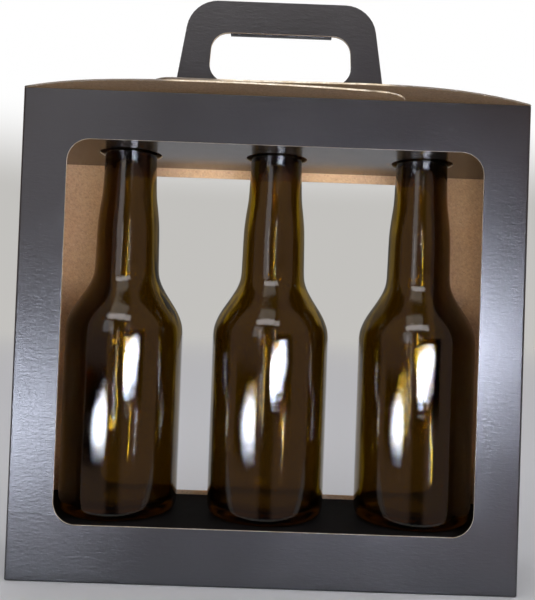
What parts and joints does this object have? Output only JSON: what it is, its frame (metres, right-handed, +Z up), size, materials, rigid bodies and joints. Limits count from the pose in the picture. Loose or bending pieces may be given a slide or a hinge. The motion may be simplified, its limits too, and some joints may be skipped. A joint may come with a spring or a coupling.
{
  "type": "bottle carrier",
  "caption": "Upright cardboard carrier holding a row of glass bottles, with a window front and back, a neck shelf and a carrying handle.",
  "frame": {"origin": "middle of the carton's base", "axes": "+Z up through the handle, the larger window faces -Y, +X to the right seen from that side"},
  "size_m": [0.2484, 0.068, 0.2993],
  "materials": {
    "black_board": "black coated paperboard, fine horizontal grain, semi-gloss",
    "kraft_board": "bare kraft paperboard, matt",
    "amber_glass": "dark amber bottle glass, polished"
  },
  "bodies": {
    "carton": {"front_panel": "black_board", "rear_panel": "black_board", "left_side_panel": "black_board", "right_side_panel": "black_board", "front_roof_flap": "black_board", "rear_roof_flap": "black_board", "handle_front_layer": "black_board", "handle_rear_layer": "black_board", "bottom_flap_front": "black_board", "bottle_platform": "black_board", "platform_front_leg": "black_board", "platform_rear_leg": "black_board", "neck_shelf": "black_board", "glue_flap": "kraft_board", "bottom_flap_rear": "kraft_board", "bottom_flap_left": "kraft_board", "bottom_flap_right": "kraft_board", "neck_shelf_front_flange": "kraft_board", "neck_shelf_rear_flange": "kraft_board"},
    "left_lock_flap": {"left_lock_flap": "black_board"},
    "right_lock_flap": {"right_lock_flap": "black_board"},
    "grip_flap": {"grip_flap": "black_board"},
    "bottle_left": {"bottle_left": "amber_glass"},
    "bottle_middle": {"bottle_middle": "amber_glass"},
    "bottle_right": {"bottle_right": "amber_glass"}
  },
  "joints": [
    {"name": "right_lock_flap_hinge", "type": "hinge", "parent": "carton", "child": "right_lock_flap", "pos_m": [0.124, 0, 0.239], "axis": [0, 1, 0], "range_deg": [0, 150]},
    {"name": "left_lock_flap_hinge", "type": "hinge", "parent": "carton", "child": "left_lock_flap", "pos_m": [-0.124, 0, 0.239], "axis": [0, -1, 0], "range_deg": [0, 45]},
    {"name": "grip_flap_hinge", "type": "hinge", "parent": "carton", "child": "grip_flap", "pos_m": [0, -0.00095, 0.2823], "axis": [-1, 0, 0], "range_deg": [0, 90]},
    {"name": "bottle_left_turn", "type": "hinge", "parent": "carton", "child": "bottle_left", "pos_m": [-0.0776, 0, 0.0278], "axis": [0, 0, 1], "continuous": true},
    {"name": "bottle_middle_turn", "type": "hinge", "parent": "carton", "child": "bottle_middle", "pos_m": [0, 0, 0.0278], "axis": [0, 0, 1], "continuous": true},
    {"name": "bottle_right_turn", "type": "hinge", "parent": "carton", "child": "bottle_right", "pos_m": [0.0776, 0, 0.0278], "axis": [0, 0, 1], "continuous": true}
  ],
  "couplings": [
    {"joint": "left_lock_flap_hinge", "follows": "right_lock_flap_hinge", "ratio": 0.3}
  ]
}
